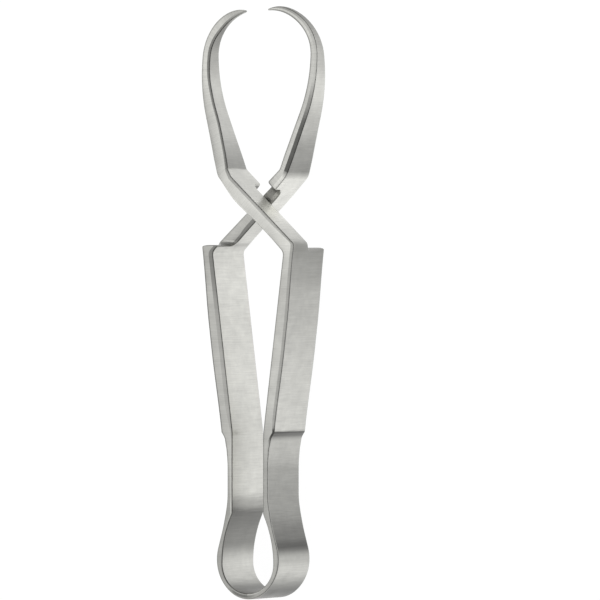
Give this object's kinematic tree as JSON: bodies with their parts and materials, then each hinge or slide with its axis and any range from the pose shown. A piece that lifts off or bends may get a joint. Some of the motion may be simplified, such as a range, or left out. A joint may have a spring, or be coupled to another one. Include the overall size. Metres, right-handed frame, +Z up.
{
  "type": "towel clamp",
  "caption": "Cross-action spring towel clamp: a flat steel strip bent into a loop, with grip plates and crossing arms that end in pointed hooks.",
  "frame": {"origin": "middle of the clamp's outline, on the plane it lies on", "axes": "+Y from the spring loop to the jaws, +X along the way the jaws open, +Z up, across the strip"},
  "size_m": [0.0202, 0.0902, 0.0097],
  "materials": {
    "brushed_steel": "satin, brushed across the strip"
  },
  "bodies": {
    "spring": {"spring_bow": "brushed_steel"},
    "right_arm": {"right_arm_leg": "brushed_steel", "right_arm_grip": "brushed_steel", "right_arm_neck": "brushed_steel", "right_arm_jaw": "brushed_steel"},
    "left_arm": {"left_arm_leg": "brushed_steel", "left_arm_grip": "brushed_steel", "left_arm_neck": "brushed_steel", "left_arm_jaw": "brushed_steel"}
  },
  "joints": [
    {"name": "right_arm_flex", "type": "hinge", "parent": "spring", "child": "right_arm", "pos_m": [0.00427, -0.03533, 0.00485], "axis": [0, 0, 1], "range_deg": [-1.2, 5.5], "stiffness_Nm_per_rad": 1.2},
    {"name": "left_arm_flex", "type": "hinge", "parent": "spring", "child": "left_arm", "pos_m": [-0.00427, -0.03533, 0.00485], "axis": [0, 0, -1], "range_deg": [-1.2, 5.5], "stiffness_Nm_per_rad": 1.2}
  ],
  "couplings": [
    {"joint": "left_arm_flex", "follows": "right_arm_flex", "ratio": 1}
  ]
}
